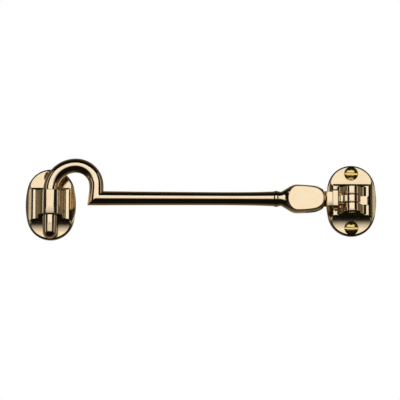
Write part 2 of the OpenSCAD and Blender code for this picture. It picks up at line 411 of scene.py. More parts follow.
def add_blend(
    tree: bpy.types.NodeTree,
    share: bpy.types.NodeSocket | float,
    first: bpy.types.NodeSocket | Sequence[float],
    second: bpy.types.NodeSocket | Sequence[float],
    blend: str = "MIX",
) -> bpy.types.NodeSocket:
    """Adds a node that blends two colours.

    Args:
        tree: The tree.
        share: How much of the second colour there is.
        first: The first colour.
        second: The second colour.
        blend: How they are blended.

    Returns:
        The socket with the blend.
    """
    mix = tree.nodes.new("ShaderNodeMix")
    mix.data_type = "RGBA"
    mix.blend_type = blend
    # Of this node's inputs, 0 is the share, and 6 and 7 are the colours. Its output 2 is the blend.
    for index, value in ((0, share), (6, first), (7, second)):
        if isinstance(value, bpy.types.NodeSocket):
            tree.links.new(value, mix.inputs[index])
        else:
            mix.inputs[index].default_value = value
    return mix.outputs[2]


def add_math(
    tree: bpy.types.NodeTree, operation: str, first: bpy.types.NodeSocket, second: bpy.types.NodeSocket
) -> bpy.types.NodeSocket:
    """Adds a node that works out one value from two.

    Args:
        tree: The tree.
        operation: What the node does.
        first: The first value.
        second: The second value.

    Returns:
        The socket with the result.
    """
    node = tree.nodes.new("ShaderNodeMath")
    node.operation = operation
    tree.links.new(first, node.inputs[0])
    tree.links.new(second, node.inputs[1])
    return node.outputs["Value"]


@dataclass(frozen=True)
class BrassFinish:
    """A brass finish.

    Attributes:
        colour: The metal's colour, linear.
        warm: The colour of its warmer patches, linear.
        roughness: Its roughness where it is best polished.
        haze: How much rougher its duller patches are.
        marks: The depth of its polishing marks.
        mark_scale: How many marks there are in a metre.
    """

    colour: tuple[float, float, float]
    warm: tuple[float, float, float]
    roughness: float
    haze: float
    marks: float
    mark_scale: float

    def material(self, name: str) -> bpy.types.Material:
        """Builds the finish's material.

        Args:
            name: The material's name.

        Returns:
            The material, with its nodes.
        """
        material = bpy.data.materials.new(name)
        material.use_nodes = True
        tree = material.node_tree
        surface = tree.nodes["Principled BSDF"]
        surface.inputs["Metallic"].default_value = 1.0
        place = add_node(tree, "ShaderNodeTexCoord")
        tone = add_node(tree, "ShaderNodeGroup")
        tone.node_tree = brass_tone_group()
        tone.inputs["Colour"].default_value = (*self.colour, 1.0)
        tone.inputs["Warm"].default_value = (*self.warm, 1.0)
        polish = add_node(tree, "ShaderNodeGroup")
        polish.node_tree = polish_group()
        polish.inputs["Roughness"].default_value = self.roughness
        polish.inputs["Haze"].default_value = self.haze
        polish.inputs["Mark scale"].default_value = self.mark_scale
        bump = add_node(tree, "ShaderNodeBump", Strength=self.marks, Distance=MARK_DEPTH)
        tree.links.new(place.outputs["Object"], tone.inputs["Place"])
        tree.links.new(place.outputs["Object"], polish.inputs["Place"])
        tree.links.new(tone.outputs["Colour"], surface.inputs["Base Color"])
        tree.links.new(polish.outputs["Roughness"], surface.inputs["Roughness"])
        tree.links.new(polish.outputs["Height"], bump.inputs["Height"])
        tree.links.new(bump.outputs["Normal"], surface.inputs["Normal"])
        return material


def group_sockets(
    group: bpy.types.NodeTree, inputs: dict[str, str], outputs: dict[str, str]
) -> tuple[bpy.types.Node, bpy.types.Node]:
    """Gives a node group its sockets.

    Args:
        group: The node group.
        inputs: The inputs' names and socket types.
        outputs: The outputs' names and socket types.

    Returns:
        The group's input and output nodes.
    """
    for name, kind in inputs.items():
        group.interface.new_socket(name=name, in_out="INPUT", socket_type=kind)
    for name, kind in outputs.items():
        group.interface.new_socket(name=name, in_out="OUTPUT", socket_type=kind)
    return group.nodes.new("NodeGroupInput"), group.nodes.new("NodeGroupOutput")


def brass_tone_group() -> bpy.types.NodeTree:
    """Builds, once, the effect that lets brass vary in tone.

    Returns:
        The node group.
    """
    known = bpy.data.node_groups.get("brass_tone")
    if known:
        return known
    group = bpy.data.node_groups.new("brass_tone", "ShaderNodeTree")
    start, end = group_sockets(
        group,
        {"Place": "NodeSocketVector", "Colour": "NodeSocketColor", "Warm": "NodeSocketColor"},
        {"Colour": "NodeSocketColor"},
    )
    cloud = add_node(group, "ShaderNodeTexNoise", Scale=90.0, Detail=4.0, Roughness=0.6)
    reach = add_node(group, "ShaderNodeMapRange")
    reach.inputs["From Min"].default_value = 0.35
    reach.inputs["From Max"].default_value = 0.75
    group.links.new(start.outputs["Place"], cloud.inputs["Vector"])
    group.links.new(cloud.outputs["Fac"], reach.inputs["Value"])
    tone = add_blend(group, reach.outputs["Result"], start.outputs["Colour"], start.outputs["Warm"])
    group.links.new(tone, end.inputs["Colour"])
    return group


def polish_group() -> bpy.types.NodeTree:
    """Builds, once, the effect of a hand-polished face: hazy patches and fine marks.

    Returns:
        The node group.
    """
    known = bpy.data.node_groups.get("polish")
    if known:
        return known
    group = bpy.data.node_groups.new("polish", "ShaderNodeTree")
    start, end = group_sockets(
        group,
        {
            "Place": "NodeSocketVector",
            "Roughness": "NodeSocketFloat",
            "Haze": "NodeSocketFloat",
            "Mark scale": "NodeSocketFloat",
        },
        {"Roughness": "NodeSocketFloat", "Height": "NodeSocketFloat"},
    )
    patch = add_node(group, "ShaderNodeTexNoise", Scale=160.0, Detail=5.0)
    stretch = add_node(group, "ShaderNodeMapping", Scale=(6.0, 1.0, 1.0))
    stretch.vector_type = "TEXTURE"
    marks = add_node(group, "ShaderNodeTexNoise", Detail=3.0)
    group.links.new(start.outputs["Place"], patch.inputs["Vector"])
    group.links.new(start.outputs["Place"], stretch.inputs["Vector"])
    group.links.new(stretch.outputs["Vector"], marks.inputs["Vector"])
    group.links.new(start.outputs["Mark scale"], marks.inputs["Scale"])
    hazy = add_math(group, "MULTIPLY", patch.outputs["Fac"], start.outputs["Haze"])
    total = add_math(group, "ADD", hazy, start.outputs["Roughness"])
    group.links.new(total, end.inputs["Roughness"])
    group.links.new(marks.outputs["Fac"], end.inputs["Height"])
    return group


@dataclass
class Dresser:
    """Gives finished pieces their material and body.

    Attributes:
        materials: The material of each finish.
    """

    materials: dict[Finish, bpy.types.Material]

    def dress(self, piece: bpy.types.Object, finish: Finish, body: Body, nodes: Sequence[str]) -> None:
        """Dresses a new piece that stands for CAD nodes.

        Args:
            piece: The piece.
            finish: Its finish.
            body: The body that it rides on.
            nodes: The CAD nodes that it replaces.
        """
        self._paint(piece, finish)
        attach(piece, body.value)
        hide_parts(*nodes)
        LOG.info("%s: %d faces, on %s", piece.name, len(piece.data.polygons), body.value)

    def repaint(self, node: bpy.types.Object, finish: Finish) -> None:
        """Gives a CAD node that stays its finish."""
        self._paint(node, finish)
        LOG.info("%s: CAD node kept", node.name)

    def _paint(self, piece: bpy.types.Object, finish: Finish) -> None:
        """Puts a finish's material on a piece."""
        piece.data.materials.clear()
        piece.data.materials.append(self.materials[finish])


@dataclass
class HookArm:
    """The hooked arm: forked paddle, bead, waisted rod, mitred corner, arch and tip.

    Attributes:
        nose: The place and the radius of the paddle's end face.
        paddle: Half the paddle's height along the arm.
        depth: Half its thickness there, before its flats are cut.
        boxiness: How square the paddle's section is: 2 is round.
        bead: The turned bead's radius along the arm.
        rod: The rod's radius along the arm.
        half_t: Half the paddle's thickness across its flats.
        leg_x: The leg's axis.
        bar_r: The radius of the hook's bar.
        flare: How much further out the mitre's outer corner lies, as a share.
        leg_bend: The bend's radius on the side of the leg.
        tip_bend: The bend's radius on the side of the tip.
        crown_y: The height of the hook's crown.
        tip: The tip's radius by the distance below the bend, down to its round end.
        fork_x: The bottom of the fork's slot.
        fork_half: Half the slot's width.
        fork_r: The radius of the slot's edges.
        pin_x: The lift pin's place.
        pin_r: The radius of its bore.
        pin_top: The bore's blind end, from the arm's axis.
        ring: The number of points round the bar.
    """

    nose: tuple[float, float] = (-13.45, 2.5)
    paddle: Curve = Curve((
        (-36.4, 3.67), (-35.9, 3.6), (-35.3, 3.8), (-34.2, 4.45), (-32.5, 5.45),
        (-31.2, 6.25), (-30.2, 6.72), (-29.0, 7.08), (-28.0, 7.22), (-25.0, 7.12),
        (-21.0, 6.85), (-18.5, 6.55), (-16.1, 5.7), (-14.6, 4.75), (-13.8, 3.6),
    ))
    depth: Curve = Curve((
        (-36.4, 3.67), (-35.9, 3.6), (-35.3, 3.64), (-34.2, 3.87), (-32.5, 4.5),
        (-31.2, 5.2), (-30.2, 5.9), (-29.0, 6.6), (-28.0, 7.0), (-25.0, 7.12),
        (-21.0, 6.85), (-18.5, 6.55), (-16.1, 5.7), (-14.6, 4.75), (-13.8, 3.6),
    ))
    boxiness: Curve = Curve(((-36.4, 2.0), (-32.0, 2.4), (-18.0, 2.4), (-13.6, 2.6)))
    bead: Curve = Curve((
        (-40.3, 3.7), (-39.6, 3.73), (-39.1, 3.9), (-38.6, 4.09), (-38.2, 4.13),
        (-37.9, 4.09), (-37.4, 3.94), (-36.9, 3.8), (-36.4, 3.67),
    ))
    rod: Curve = Curve((
        (-122.0, 3.56), (-105.0, 3.44), (-82.0, 3.34), (-64.0, 3.3), (-52.0, 3.38),
        (-44.0, 3.56), (-40.3, 3.7),
    ))
    half_t: float = 4.75
    leg_x: float = -128.7
    bar_r: float = 3.6
    flare: float = 1.25
    leg_bend: float = 10.4
    tip_bend: float = 12.9
    crown_y: float = 16.6
    tip: Curve = Curve(((0.0, 3.6), (3.8, 3.95), (8.0, 3.95), (14.4, 3.88), (20.5, 3.6)))
    fork_x: float = -23.4
    fork_half: float = 1.95
    fork_r: float = 0.3
    pin_x: float = -18.5
    pin_r: float = 1.51
    pin_top: float = 3.55
    ring: int = 80

    def make(self, dresser: Dresser) -> None:
        """Models and dresses the arm."""
        dresser.dress(self.build(), Finish.TURNED, Body.ARM, ["hook_arm"])

    def build(self) -> bpy.types.Object:
        """Models the arm.

        Returns:
            The arm, forked and bored.
        """
        bm = bmesh.new()
        ring = bmesh.ops.create_circle(bm, cap_ends=True, segments=self.ring, radius=1.0)["verts"]
        nose_x, nose_r = self.nose
        self._place(ring, self._paddle_section(nose_x, (nose_r, nose_r)))
        for section in self._paddle_sections() + self._rod_sections() + self._hook_sections():
            ring = grow_ring(bm, ring)
            self._place(ring, section)
        close_ring(bm, ring)
        self._flatten(bm)
        arm = piece_from("hook_arm_brass", bm)
        cut_away(arm, [self._fork_cutter(), self._pin_cutter()])
        shade(arm, Smoothing.TURNED)
        return arm

    def _paddle_sections(self) -> list[Callable[[float], Vector]]:
        """Lists the paddle's sections, from its round end to the neck."""
        places = [-13.6, -13.8, -14.1, -14.5, -15.0] + spread(-15.5, -36.3, 72)
        return [self._paddle_section(x, (self.paddle.at(x), self.depth.at(x))) for x in places]

    def _rod_sections(self) -> list[Callable[[float], Vector]]:
        """Lists the sections of the bead and the rod, from the neck to the mitre.

        Returns:
            The sections, in order.
        """
        sections = [self._rod_section(x, self.bead.at(x)) for x in spread(-36.45, -40.2, 36)]
        sections += [self._rod_section(x, self.rod.at(x)) for x in spread(-40.5, -122.0, 60)]
        return sections + [self._rod_section(self.leg_x + self.bar_r + 0.5, self.bar_r)]

    def _paddle_section(self, x: float, half: tuple[float, float]) -> Callable[[float], Vector]:
        """Gives a section of the paddle, as a place for each angle round it.

        Args:
            x: The section's place along the arm.
            half: Half its height and half its depth.

        Returns:
            A function of the angle.
        """
        power = 2.0 / self.boxiness.at(x)

        def point(angle: float) -> Vector:
            """Finds one point of the section.

            Args:
                angle: The point's angle round the bar.

            Returns:
                The point.
            """
            c, s = math.cos(angle), math.sin(angle)
            y = math.copysign(abs(c) ** power, c) * half[0]
            z = math.copysign(abs(s) ** power, s) * half[1]
            return Vector((x, y, AXIS_Z + z))

        return point

    def _rod_section(self, x: float, radius: float) -> Callable[[float], Vector]:
        """Gives a round section of the rod."""
        return lambda angle: Vector((x, radius * math.cos(angle), AXIS_Z + radius * math.sin(angle)))

    def _mitre_section(self, shift: float) -> Callable[[float], Vector]:
        """Gives a section parallel to the mitre's plane.

        Args:
            shift: How far it lies along the rod if positive, else up the leg.

        Returns:
            A function of the angle.
        """

        def point(angle: float) -> Vector:
            """Finds one point of the section.

            Args:
                angle: The point's angle round the bar.

            Returns:
                The point.
            """
            across = self.bar_r * math.cos(angle)
            x = self.leg_x + across * (self.flare if across < 0 else 1.0) + max(shift, 0.0)
            y = across + max(-shift, 0.0)
            return Vector((x, y, AXIS_Z + self.bar_r * math.sin(angle)))

        return point

    def _bar_section(self, centre: Vector, out: Vector, radius: float) -> Callable[[float], Vector]:
        """Gives a round section of the hook's bar.

        Args:
            centre: The bar's axis there.
            out: The direction of angle zero, in the hook's plane.
            radius: The bar's radius.

        Returns:
            A function of the angle.
        """
        up = Vector((0, 0, 1))
        return lambda angle: centre + out * (radius * math.cos(angle)) + up * (radius * math.sin(angle))

    def _hook_sections(self) -> list[Callable[[float], Vector]]:
        """Lists the sections from the mitre over the arch to the tip's end.

        Returns:
            The sections, in order.
        """
        right = Vector((1, 0, 0))
        sections = [self._mitre_section(0.25), self._mitre_section(0.0), self._mitre_section(-0.25)]
        bend_y = self.crown_y - self.leg_bend
        for y in spread(self.bar_r + 0.6, bend_y, 4):
            sections.append(self._bar_section(Vector((self.leg_x, y, AXIS_Z)), right, self.bar_r))
        crown_x = self.leg_x - self.leg_bend
        for bend, first, last in ((self.leg_bend, 0.0, 90.0), (self.tip_bend, 90.0, 180.0)):
            for angle in spread(first, last, 25)[1:]:
                out = Vector((math.cos(math.radians(angle)), math.sin(math.radians(angle)), 0))
                centre = Vector((crown_x, self.crown_y - bend, AXIS_Z)) + out * bend
                sections.append(self._bar_section(centre, out, self.bar_r))
        top = self.crown_y - self.tip_bend
        end, end_r = self.tip.stations[-1]
        drops = [(drop, self.tip.at(drop)) for drop in spread(0.0, end, 24)[1:]]
        for angle in spread(0.0, 75.0, 12)[1:]:
            turn = math.radians(angle)
            drops.append((end + end_r * math.sin(turn), end_r * math.cos(turn)))
        for drop, radius in drops:
            sections.append(self._bar_section(Vector((TIP_X, top - drop, AXIS_Z)), -right, radius))
        return sections

    def _place(self, verts: Sequence[bmesh.types.BMVert], section: Callable[[float], Vector]) -> None:
        """Moves a ring's points on to a section, by their angle on the first circle."""
        for index, vert in enumerate(verts):
            vert.co = section(2 * math.pi * index / len(verts))

    def _flatten(self, bm: bmesh.types.BMesh) -> None:
        """Cuts the paddle's flats, front and back.

        Args:
            bm: The arm's mesh.
        """
        for side in (1.0, -1.0):
            done = bmesh.ops.bisect_plane(
                bm,
                geom=whole(bm),
                dist=1e-6,
                plane_co=Vector((0, 0, AXIS_Z + side * self.half_t)),
                plane_no=Vector((0, 0, side)),
                clear_outer=True,
            )
            edges = [item for item in done["geom_cut"] if isinstance(item, bmesh.types.BMEdge)]
            bmesh.ops.edgeloop_fill(bm, edges=edges)

    def _fork_cutter(self) -> bpy.types.Object:
        """Models the slot of the fork.

        Returns:
            The cutter.
        """
        bm = bmesh.new()
        low = (self.fork_x, -12, AXIS_Z - self.fork_half)
        add_box(bm, low, (-8, 12, AXIS_Z + self.fork_half))
        round_edges(bm, bm.edges[:], self.fork_r, 3)
        return piece_from("fork_cutter", bm)

    def _pin_cutter(self) -> bpy.types.Object:
        """Models the blind bore for the lift pin.

        Returns:
            The cutter.
        """
        bm = bmesh.new()
        profile = [(0, -8), (self.pin_r, -8), (self.pin_r, self.pin_top), (0, self.pin_top)]
        lathe(bm, profile, Matrix.Translation((self.pin_x, 0, AXIS_Z)), COARSE_TURN)
        return piece_from("pin_cutter", bm)


@dataclass
class OvalPlate:
    """An oval plate with pads for screws and a raised middle.

    Attributes:
        length: Its length, along the screws.
        width: Its width.
        end_r: The radius of its ends.
        side_r: The radius of its bowed sides.
        pad_z: The height of its pads.
        top_z: The height of its raised middle.
        top_half: Half the length of the raised middle's flat top.
        hollow_r: The radius of the hollow between the middle and a pad.
        hollow_soft: How far below the middle's top its rounding starts.
        dish_y: Where a pad starts to rise towards the middle.
        dish_r: The radius of that gentle rise.
        flank_slope: How steep the flanks start at the ridge.
        flank_bend: How much they bend down towards the rim.
        rim: The height at which the rim's chamfer starts.
        rim_soft: How far from the chamfer's edge its rounding starts, in height.
        screw_y: The distance of the screws from the centre.
        hole_r: The radius of a screw's hole.
        sink_r: The radius of its countersink.
        sink: The depth of its countersink.
        ramp: The slope up from the ridge towards the slot's bottom, or 0 for a flat top.
        ramp_half: Half the width of that slope, which ends inside the lugs.
        ridge_x: Where the raised middle's ridge lies.
        ridge_soft: How far from the ridge its rounding starts, in height.
        clear_r: The radius of the slot's round bottom about the pivot axis.
        ring: The number of points round the plate.
    """

    length: float = 36.0
    width: float = 25.4
    end_r: float = 12.0
    side_r: float = 38.06
    pad_z: float = 3.5
    top_z: float = 4.8
    top_half: float = 7.55
    hollow_r: float = 1.6
    hollow_soft: float = 0.35
    dish_y: float = 14.8
    dish_r: float = 28.0
    flank_slope: float = 0.44
    flank_bend: float = 0.045
    rim: float = 2.9
    rim_soft: float = 0.4
    screw_y: float = 13.9
    hole_r: float = 1.9
    sink_r: float = 3.55
    sink: float = 1.65
    ramp: float = 0.0
    ramp_half: float = 2.5
    ridge_x: float = 8.6
    ridge_soft: float = 0.4
    clear_r: float = 5.2
    ring: int = 288

    def build(self, name: str) -> bpy.types.Object:
        """Models the plate about its own centre.

        Args:
            name: The object's name.

        Returns:
            The plate, bored for its screws.
        """
        bm = bmesh.new()
        ring = bmesh.ops.create_circle(bm, cap_ends=True, segments=self.ring, radius=1.0)["verts"]
        outline = [self._outline(2 * math.pi * i / self.ring) for i in range(self.ring)]
        self._place(ring, outline, 0.985, 0.0)
        # How far out and how high the rings of the side lie: a softened back edge under a plain wall.
        side = [(0.996, 0.06), (1.0, 0.16), (1.0, 0.5), (1.0, 0.9)]
        for scale, share in side + [(scale, None) for scale in self._steps()]:
            ring = grow_ring(bm, ring)
            self._place(ring, outline, scale, share)
        close_ring(bm, ring)
        self._grid_front(bm)
        plate = piece_from(name, bm)
        cut_away(plate, [self._hole_cutter(self.screw_y), self._hole_cutter(-self.screw_y)])
        return plate

    def _steps(self) -> list[float]:
        """Lists how far out the rings of the plate's front lie, from the rim inwards."""
        near = [1.0, 0.998, 0.995, 0.991, 0.986, 0.98, 0.973]
        return near + spread(0.965, 0.9, 10)

    def _grid_front(self, bm: bmesh.types.BMesh) -> None:
        """Divides the front inside the rings by straight lines along its ridges and hollows, and raises it.

        Args:
            bm: The plate's mesh.
        """
        caps = [face for face in bm.faces if len(face.verts) == self.ring]
        cells = [face for face in caps if face.calc_center_median().z > 1.0]
        reach = 1.2 * self.ridge_soft / self.flank_slope
        columns = self._lines(self.width, self.ridge_x, reach)
        rows = self._lines(self.length, self.top_half + 0.5, 1.2)
        cells = self._cut_cells(bm, cells, Vector((1, 0, 0)), columns)
        cells = self._cut_cells(bm, cells, Vector((0, 1, 0)), rows)
        for vert in {vert for face in cells for vert in face.verts}:
            x, y, _ = vert.co
            inset = self._outline(math.atan2(y, x)).length - vert.co.xy.length
            vert.co.z = self.height(x, y, inset)

    def _lines(self, size: float, crease: float, reach: float) -> list[float]:
        """Lists where lines lie across the front, closer together along a crease on both sides.

        Args:
            size: The plate's size in that direction.
            crease: The crease's distance from the centre.
            reach: How far from the crease the lines are close together.

        Returns:
            The places, in rising order.
        """
        fine = spread(crease - reach, crease + reach, 19)
        even = spread(-size / 2, size / 2, int(size * 3))
        coarse = [place for place in even if abs(abs(place) - crease) > reach]
        return sorted(coarse + fine + [-place for place in fine])

    def _cut_cells(
        self, bm: bmesh.types.BMesh, cells: list[bmesh.types.BMFace], axis: Vector, places: Sequence[float]
    ) -> list[bmesh.types.BMFace]:
        """Cuts faces across an axis.

        Args:
            bm: The mesh.
            cells: The faces.
            axis: The direction that the cuts are square to.
            places: Where they lie, in rising order.

        Returns:
            All the faces after the cuts.
        """
        done = []
        for place in places:
            edges = list(dict.fromkeys(edge for face in cells for edge in face.edges))
            verts = list(dict.fromkeys(vert for face in cells for vert in face.verts))
            made = bmesh.ops.bisect_plane(
                bm, geom=verts + edges + cells, dist=1e-6, plane_co=axis * place, plane_no=axis
            )["geom"]
            faces = [item for item in made if isinstance(item, bmesh.types.BMFace)]
            cells = [face for face in faces if face.calc_center_median().dot(axis) > place]
            done += [face for face in faces if face.calc_center_median().dot(axis) <= place]
        return done + cells

    def _outline(self, angle: float) -> Vector:
        """Finds the plate's outline.

        Args:
            angle: The direction from the plate's centre.

        Returns:
            The outline's point in that direction.
        """
        ray = Vector((math.cos(angle), math.sin(angle)))
        centre_y = self.length / 2 - self.end_r
        reach = self._ray(ray, Vector((0, math.copysign(centre_y, ray.y))), self.end_r)
        side_x = -math.copysign(self.side_r - self.width / 2, ray.x)
        bow = self._ray(ray, Vector((side_x, 0)), self.side_r)
        joint = centre_y * self.side_r / (self.side_r - self.end_r)
        return ray * (bow if abs(ray.y) * bow < joint else reach)

    def _ray(self, ray: Vector, centre: Vector, radius: float) -> float:
        """Gives the distance from the origin along a ray to the far side of a circle."""
        along = ray.dot(centre)
        return along + math.sqrt(max(along**2 - centre.length_squared + radius**2, 0.0))

    def height(self, x: float, y: float, inset: float) -> float:
        """Finds the height of the plate's front.

        Args:
            x: The place across the plate.
            y: The place along the plate.
            inset: The distance in from the rim.

        Returns:
            The height over the plate's back.
        """
        low = self.pad_z + self._dish(abs(y))
        step = self.top_z - self.pad_z - self._dish(self.top_half)
        hollow_y = self.top_half + math.sqrt(step * (2 * self.hollow_r - step))
        into = min(max(hollow_y - abs(y), 0.0), self.hollow_r)
        if abs(y) < self.ramp_half:
            pad = self.top_z + self._slot_bottom(abs(x))
        else:
            arc = low + self.hollow_r - math.sqrt(self.hollow_r**2 - into**2)
            pad = smooth_min(self.top_z, arc, self.hollow_soft)
        out = max(abs(x) - self.ridge_x, 0.0)
        flank = self.top_z - self.flank_slope * (abs(x) - self.ridge_x) - self.flank_bend * out**2
        front = smooth_min(pad, flank, self.ridge_soft)
        return smooth_min(front, self.rim + inset, self.rim_soft)

    def _dish(self, y: float) -> float:
        """Gives how much a pad has risen at a distance from the plate's centre."""
        return max(self.dish_y - y, 0.0) ** 2 / (2 * self.dish_r)

    def _slot_bottom(self, x: float) -> float:
        """Gives the height of the slot's bottom over the raised middle.

        Args:
            x: The distance from the plate's centre line.

        Returns:
            The height, which leaves room for the swivel's ring.
        """
        slope = max(self.ridge_x - x, 0.0) * self.ramp
        if x >= self.clear_r:
            return slope
        return min(slope, max(AXIS_Z - self.top_z - math.sqrt(self.clear_r**2 - x**2), 0.0))

    def _place(
        self,
        verts: Sequence[bmesh.types.BMVert],
        outline: Sequence[Vector],
        scale: float,
        share: float | None,
    ) -> None:
        """Moves a ring's points to their places.

        Args:
            verts: The ring's points.
            outline: The plate's outline.
            scale: How far out the ring lies: 1 is the rim.
            share: The ring's height as a share of the rim's, or None on the front.
        """
        for vert, edge in zip(verts, outline):
            x, y = edge * scale
            inset = edge.length * (1 - scale)
            z = self.height(x, y, inset) if share is None else self.height(*edge, 0.0) * share
            vert.co = Vector((x, y, z))

    def _hole_cutter(self, y: float) -> bpy.types.Object:
        """Models a screw's hole with its countersink.

        Args:
            y: The place of its axis.

        Returns:
            The cutter.
        """
        bm = bmesh.new()
        top = self.pad_z + 2.0
        profile = [(0, -1), (self.hole_r, -1), (self.hole_r, self.pad_z - self.sink)]
        profile += [(self.sink_r, self.pad_z), (self.sink_r, top), (0, top)]
        lathe(bm, profile, Matrix.Translation((0, y, 0)), FINE_TURN)
        return piece_from("hole_cutter", bm)


@dataclass
class Boss:
    """A round-topped boss along Y that rises from its plate in hollows.

    Attributes:
        radius: The radius of its round top.
        bore: The radius of the hole along it.
        near: Where it starts along Y, at its top.
        far: Where it ends along Y, at its top.
        lean_near: How much further its foot reaches at the start.
        lean_far: How much further its foot reaches at the end.
        hollow_x: The width of the hollows along its sides.
        hollow_near: The width of the hollow at its start, or 0 for a plain end.
        hollow_far: The width of the hollow at its end, or 0 for a plain end.
        rise: The height of the hollows.
        steep: How steep the hollows end: 0 is level, and nearly 1 is a straight slope.
        edge: The radius of its edges.
        floor_z: The height of its hollows' outer edges, just below the face that it stands on.
        sunk: How far its foot reaches below that.
        side_steps: The number of steps across a hollow.
        top_steps: The number of points round its top.
    """

    radius: float
    bore: float
    near: float
    far: float
    lean_near: float
    lean_far: float
    hollow_x: float
    hollow_near: float
    hollow_far: float
    rise: float
    steep: float = 0.0
    edge: float = 0.35
    floor_z: float = 4.68
    sunk: float = 0.5
    side_steps: int = 14
    top_steps: int = 40

    def build(self, name: str) -> bpy.types.Object:
        """Models the boss about its plate's centre.

        Args:
            name: The object's name.

        Returns:
            The boss, bored.
        """
        bm = bmesh.new()
        rings = self._rings()
        count = len(rings[0])
        ring = bmesh.ops.create_circle(bm, cap_ends=True, segments=count, radius=1.0)["verts"]
        for number, places in enumerate(rings):
            if number:
                ring = grow_ring(bm, ring)
            for vert, place in zip(ring, places):
                vert.co = place
        close_ring(bm, ring)
        boss = piece_from(name, bm)
        cut_away(boss, [self._bore_cutter()])
        return boss

    def _rings(self) -> list[list[Vector]]:
        """Lists the sections along Y, from the start's hollow to the end's."""
        rings = self._end(self.near, -1.0, self.lean_near, self.hollow_near)[::-1]
        return rings + self._end(self.far, 1.0, self.lean_far, self.hollow_far)

    def _end(self, y: float, way: float, lean: float, hollow: float) -> list[list[Vector]]:
        """Lists the sections of one end, from its round edge outwards.

        Args:
            y: Where the end stands.
            way: 1 at the end and -1 at the start.
            lean: How much further its foot reaches.
            hollow: The width of its hollow, or 0 for a plain end.

        Returns:
            The sections, each a list of points.
        """
        rings = []
        for angle in spread(0.0, 90.0, 5):
            turn = math.radians(angle)
            back, inset = self.edge * (1 - math.sin(turn)), self.edge * (1 - math.cos(turn))
            rings.append(self._section(y - way * back, inset, 0.0, hollow))
        if hollow:
            for share in [0.03] + spread(0.1, 1.0, 12):
                rings.append(self._section(y + way * (lean + share * hollow), 0.0, share, hollow))
        return rings

    def _section(self, y: float, inset: float, share: float, hollow: float) -> list[Vector]:
        """Finds one section.

        Args:
            y: Its place.
            inset: How far its round top is drawn in, at the round edge.
            share: How far out in the end's hollow it lies, from 0 to 1.
            hollow: The width of that hollow; not used.

        Returns:
            The section's points, anticlockwise seen along -Y.
        """
        side = [self._foot(y, step / self.side_steps, share) for step in range(self.side_steps, -1, -1)]
        top = []
        plateau = self._hollow_z(share)
        for angle in spread(0.0, math.pi, self.top_steps):
            x = math.cos(angle) * (self.radius - inset)
            z = AXIS_Z + math.sin(angle) * (self.radius - inset)
            top.append(Vector((x, y, plateau if share else z)))
        left = [Vector((-point.x, point.y, point.z)) for point in side[::-1]]
        wide = side[0].x
        low = self.floor_z - self.sunk
        return [Vector((wide, y, low))] + side + top + left + [Vector((-wide, y, low))]

    def _foot(self, y: float, out: float, share: float) -> Vector:
        """Finds a point of the hollow beside the boss.

        Args:
            y: The section's place.
            out: How far out it lies across the boss, from 0 to 1.
            share: How far out the section lies in the end's hollow.

        Returns:
            The point.
        """
        return Vector((self.radius + out * self.hollow_x, y, self._hollow_z(math.hypot(out, share))))

    def _hollow_z(self, out: float) -> float:
        """Gives the height of the hollow's surface.

        Args:
            out: How far out in the hollow, from 0 at the boss to 1.

        Returns:
            The height over the plate's back.
        """
        end = 1.0 - math.sqrt(1.0 - self.steep**2)
        back = 1.0 - min(max(out, 0.0), 1.0) * (1.0 - self.steep)
        curve = 1.0 - math.sqrt(max(1.0 - back**2, 0.0))
        return self.floor_z + self.rise * (curve - end) / (1.0 - end)

    def _bore_cutter(self) -> bpy.types.Object:
        """Models the hole along the boss.

        Returns:
            The cutter.
        """
        bm = bmesh.new()
        start, end = self.near - 12, self.far + 12
        lathe(bm, [(0, start), (self.bore, start), (self.bore, end), (0, end)], PIVOT_AXIS, FINE_TURN)
        return piece_from("bore_cutter", bm)


@dataclass
class KeeperPlate:
    """The keeper: an oval plate with a barrel-shaped eye.

    Attributes:
        plate: The plate.
        eye: The eye.
    """

    plate: OvalPlate = field(default_factory=lambda: OvalPlate(ridge_x=8.8))
    eye: Boss = field(
        default_factory=lambda: Boss(
            radius=6.3, bore=4.5, near=-6.2, far=6.2, lean_near=1.0, lean_far=1.0,
            hollow_x=1.85, hollow_near=0.4, hollow_far=0.4, rise=2.1, steep=0.25,
        )
    )

    def make(self, dresser: Dresser) -> None:
        """Models and dresses the keeper."""
        dresser.dress(self.build(), Finish.CAST, Body.KEEPER, ["keeper_plate"])

    def build(self) -> bpy.types.Object:
        """Models the keeper in its place.

        Returns:
            The keeper plate.
        """
        keeper = join("keeper_plate_brass", [self.plate.build("keeper_oval"), self.eye.build("keeper_eye")])
        keeper.data.transform(Matrix.Translation((TIP_X * MM, KEEPER_Y * MM, 0)))
        shade(keeper, Smoothing.CAST)
        split_flats(keeper)
        return keeper


